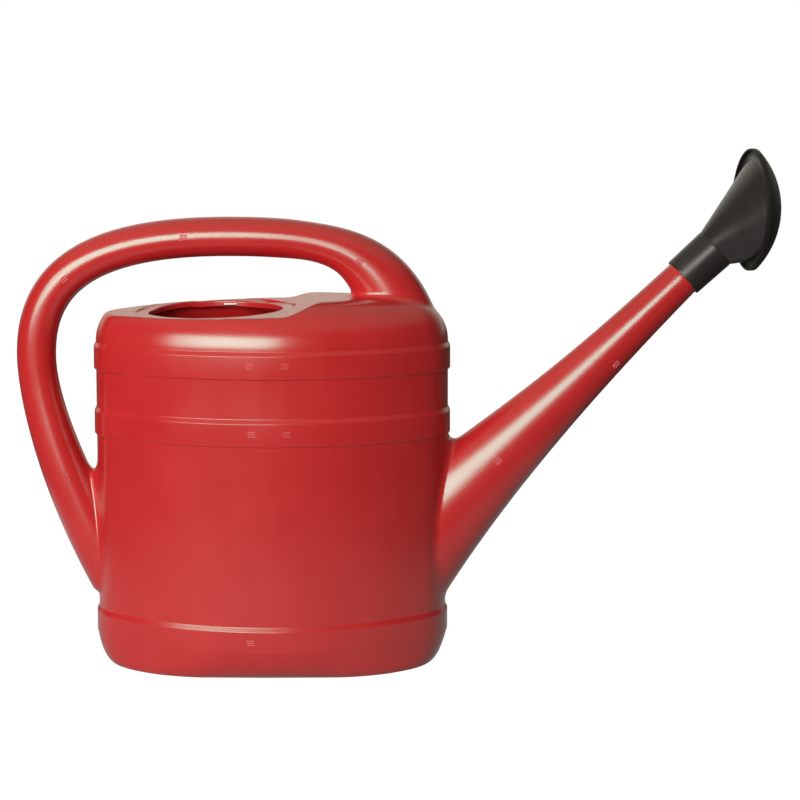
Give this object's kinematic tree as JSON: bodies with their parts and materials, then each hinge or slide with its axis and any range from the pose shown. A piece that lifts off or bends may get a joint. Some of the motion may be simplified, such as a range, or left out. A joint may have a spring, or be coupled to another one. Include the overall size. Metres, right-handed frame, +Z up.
{
  "type": "garden watering can",
  "caption": "Tall oval watering can with an arched tube handle, an open filler deck, a long tapering spout and a turning rose with a perforated dome.",
  "frame": {"origin": "centre of the tank's base, on the plane that the can stands on", "axes": "+X from the tank towards the spout, +Y across the can, +Z up; the mould's parting plane is y = 0"},
  "size_m": [0.6169, 0.1616, 0.4201],
  "materials": {
    "can_plastic": "satin moulded polyethylene",
    "rose_plastic": "satin moulded plastic"
  },
  "bodies": {
    "can": {"tank": "can_plastic", "handle": "can_plastic", "spout": "can_plastic"},
    "rose": {"rose_funnel": "rose_plastic", "rose_face": "rose_plastic"}
  },
  "joints": [
    {"name": "rose_turn", "type": "hinge", "parent": "can", "child": "rose", "pos_m": [0.3339, 0, 0.316], "axis": [0.7314, 0, 0.682], "continuous": true}
  ]
}
